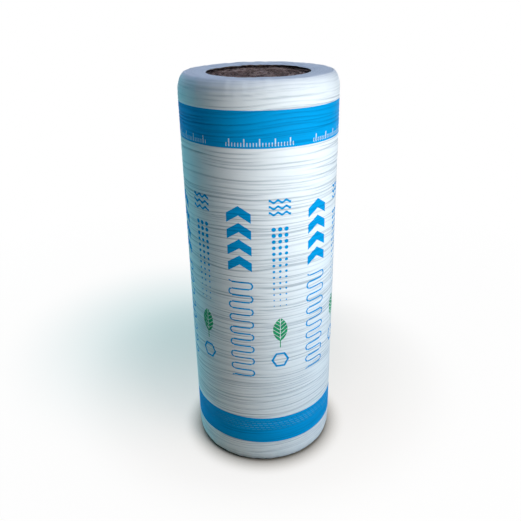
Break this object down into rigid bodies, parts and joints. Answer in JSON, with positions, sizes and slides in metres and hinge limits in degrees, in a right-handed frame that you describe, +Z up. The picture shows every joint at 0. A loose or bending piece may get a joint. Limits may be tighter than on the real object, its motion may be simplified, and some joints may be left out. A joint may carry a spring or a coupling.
{
  "type": "insulation roll",
  "caption": "Tall cylindrical roll of wound mineral wool mat, standing on end in a white film sleeve with two printed bands, open in the middle of both ends.",
  "frame": {"origin": "centre of the face that the roll stands on", "axes": "+Z up along the roll's axis; -Y towards the viewer of the picture; +X to the viewer's right"},
  "size_m": [0.4499, 0.45, 1.2],
  "materials": {
    "printed_film": "white printed polyethylene film, pulled tight in fine creases round the roll, with bright blue printed bands",
    "mineral_wool": "matt brown glass wool, with layered fibres showing at the ends"
  },
  "bodies": {
    "root": {"film_wrap": "printed_film", "wool_roll": "mineral_wool"}
  },
  "joints": []
}
